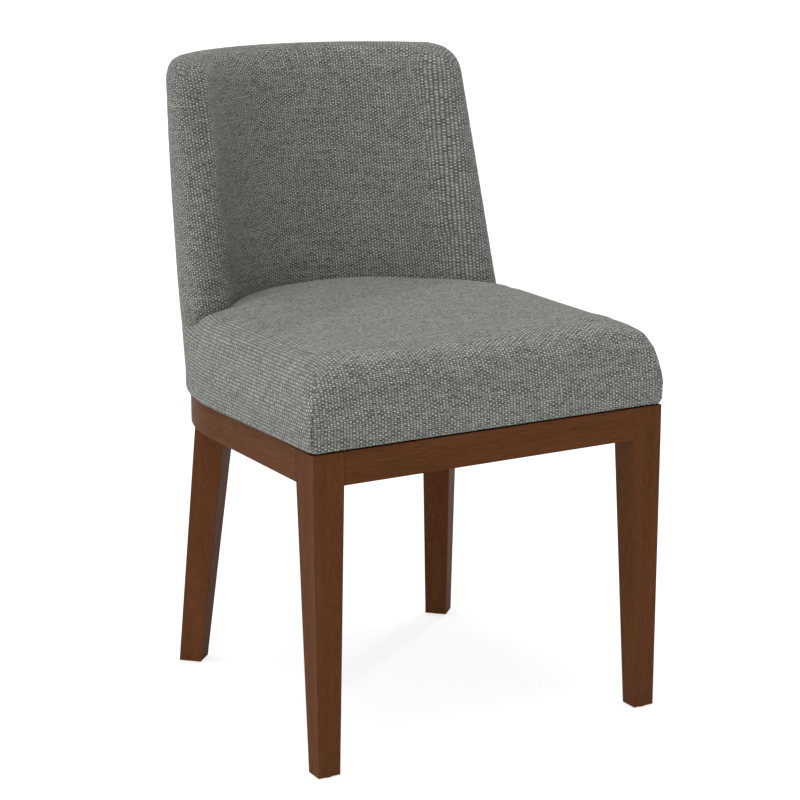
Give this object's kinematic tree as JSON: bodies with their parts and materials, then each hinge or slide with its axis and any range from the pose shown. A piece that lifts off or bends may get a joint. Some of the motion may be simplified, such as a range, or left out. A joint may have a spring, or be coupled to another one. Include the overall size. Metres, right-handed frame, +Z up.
{
  "type": "upholstered dining chair",
  "caption": "Armless dining chair with a reclined half-round upholstered back, a thick crowned seat and a stained wood base with tapered legs.",
  "frame": {"origin": "on the floor under the middle of the chair's bounding box", "axes": "+Z up, -Y the way the sitter faces, +X to the sitter's left"},
  "size_m": [0.4996, 0.5672, 0.806],
  "materials": {
    "show_wood": "reddish brown stain, satin",
    "frame_wood": "bare hardwood",
    "board": "bare fibreboard",
    "upholstery_cloth": "coarse grey-green weave",
    "foam": "open-cell cushion foam",
    "wadding": "white polyester wadding",
    "webbing": "elastic webbing",
    "underlining": "black underlining cloth",
    "plated_steel": "zinc plated",
    "glide_plastic": "moulded"
  },
  "bodies": {
    "root": {"front_leg_left": "show_wood", "front_leg_right": "show_wood", "rear_leg_left": "show_wood", "rear_leg_right": "show_wood", "front_rail": "show_wood", "rear_rail": "show_wood", "side_rail_left": "show_wood", "side_rail_right": "show_wood", "corner_block_front_left": "frame_wood", "corner_block_front_right": "frame_wood", "corner_block_rear_left": "frame_wood", "corner_block_rear_right": "frame_wood", "seat_frame_front": "frame_wood", "seat_frame_rear": "frame_wood", "seat_frame_left": "frame_wood", "seat_frame_right": "frame_wood", "back_post_left": "frame_wood", "back_post_right": "frame_wood", "back_lower_rail": "frame_wood", "back_top_rail": "frame_wood", "rail_dowels": "frame_wood", "rail_splines": "frame_wood", "seat_frame_dowels": "frame_wood", "back_rail_dowels": "frame_wood", "back_board": "board", "seat_cover": "upholstery_cloth", "back_cover": "upholstery_cloth", "back_outer_cover": "upholstery_cloth", "seat_foam": "foam", "back_foam": "foam", "seat_wadding": "wadding", "back_wadding": "wadding", "seat_webbing_cross": "webbing", "seat_webbing_long": "webbing", "back_webbing": "webbing", "dust_cover": "underlining", "corner_block_screws": "plated_steel", "rear_leg_bolts": "plated_steel", "rear_leg_washers": "plated_steel", "rear_leg_nuts": "plated_steel", "seat_fixing_screws": "plated_steel", "dust_cover_staples": "plated_steel", "back_post_screws": "plated_steel", "leg_glides": "glide_plastic"}
  },
  "joints": []
}
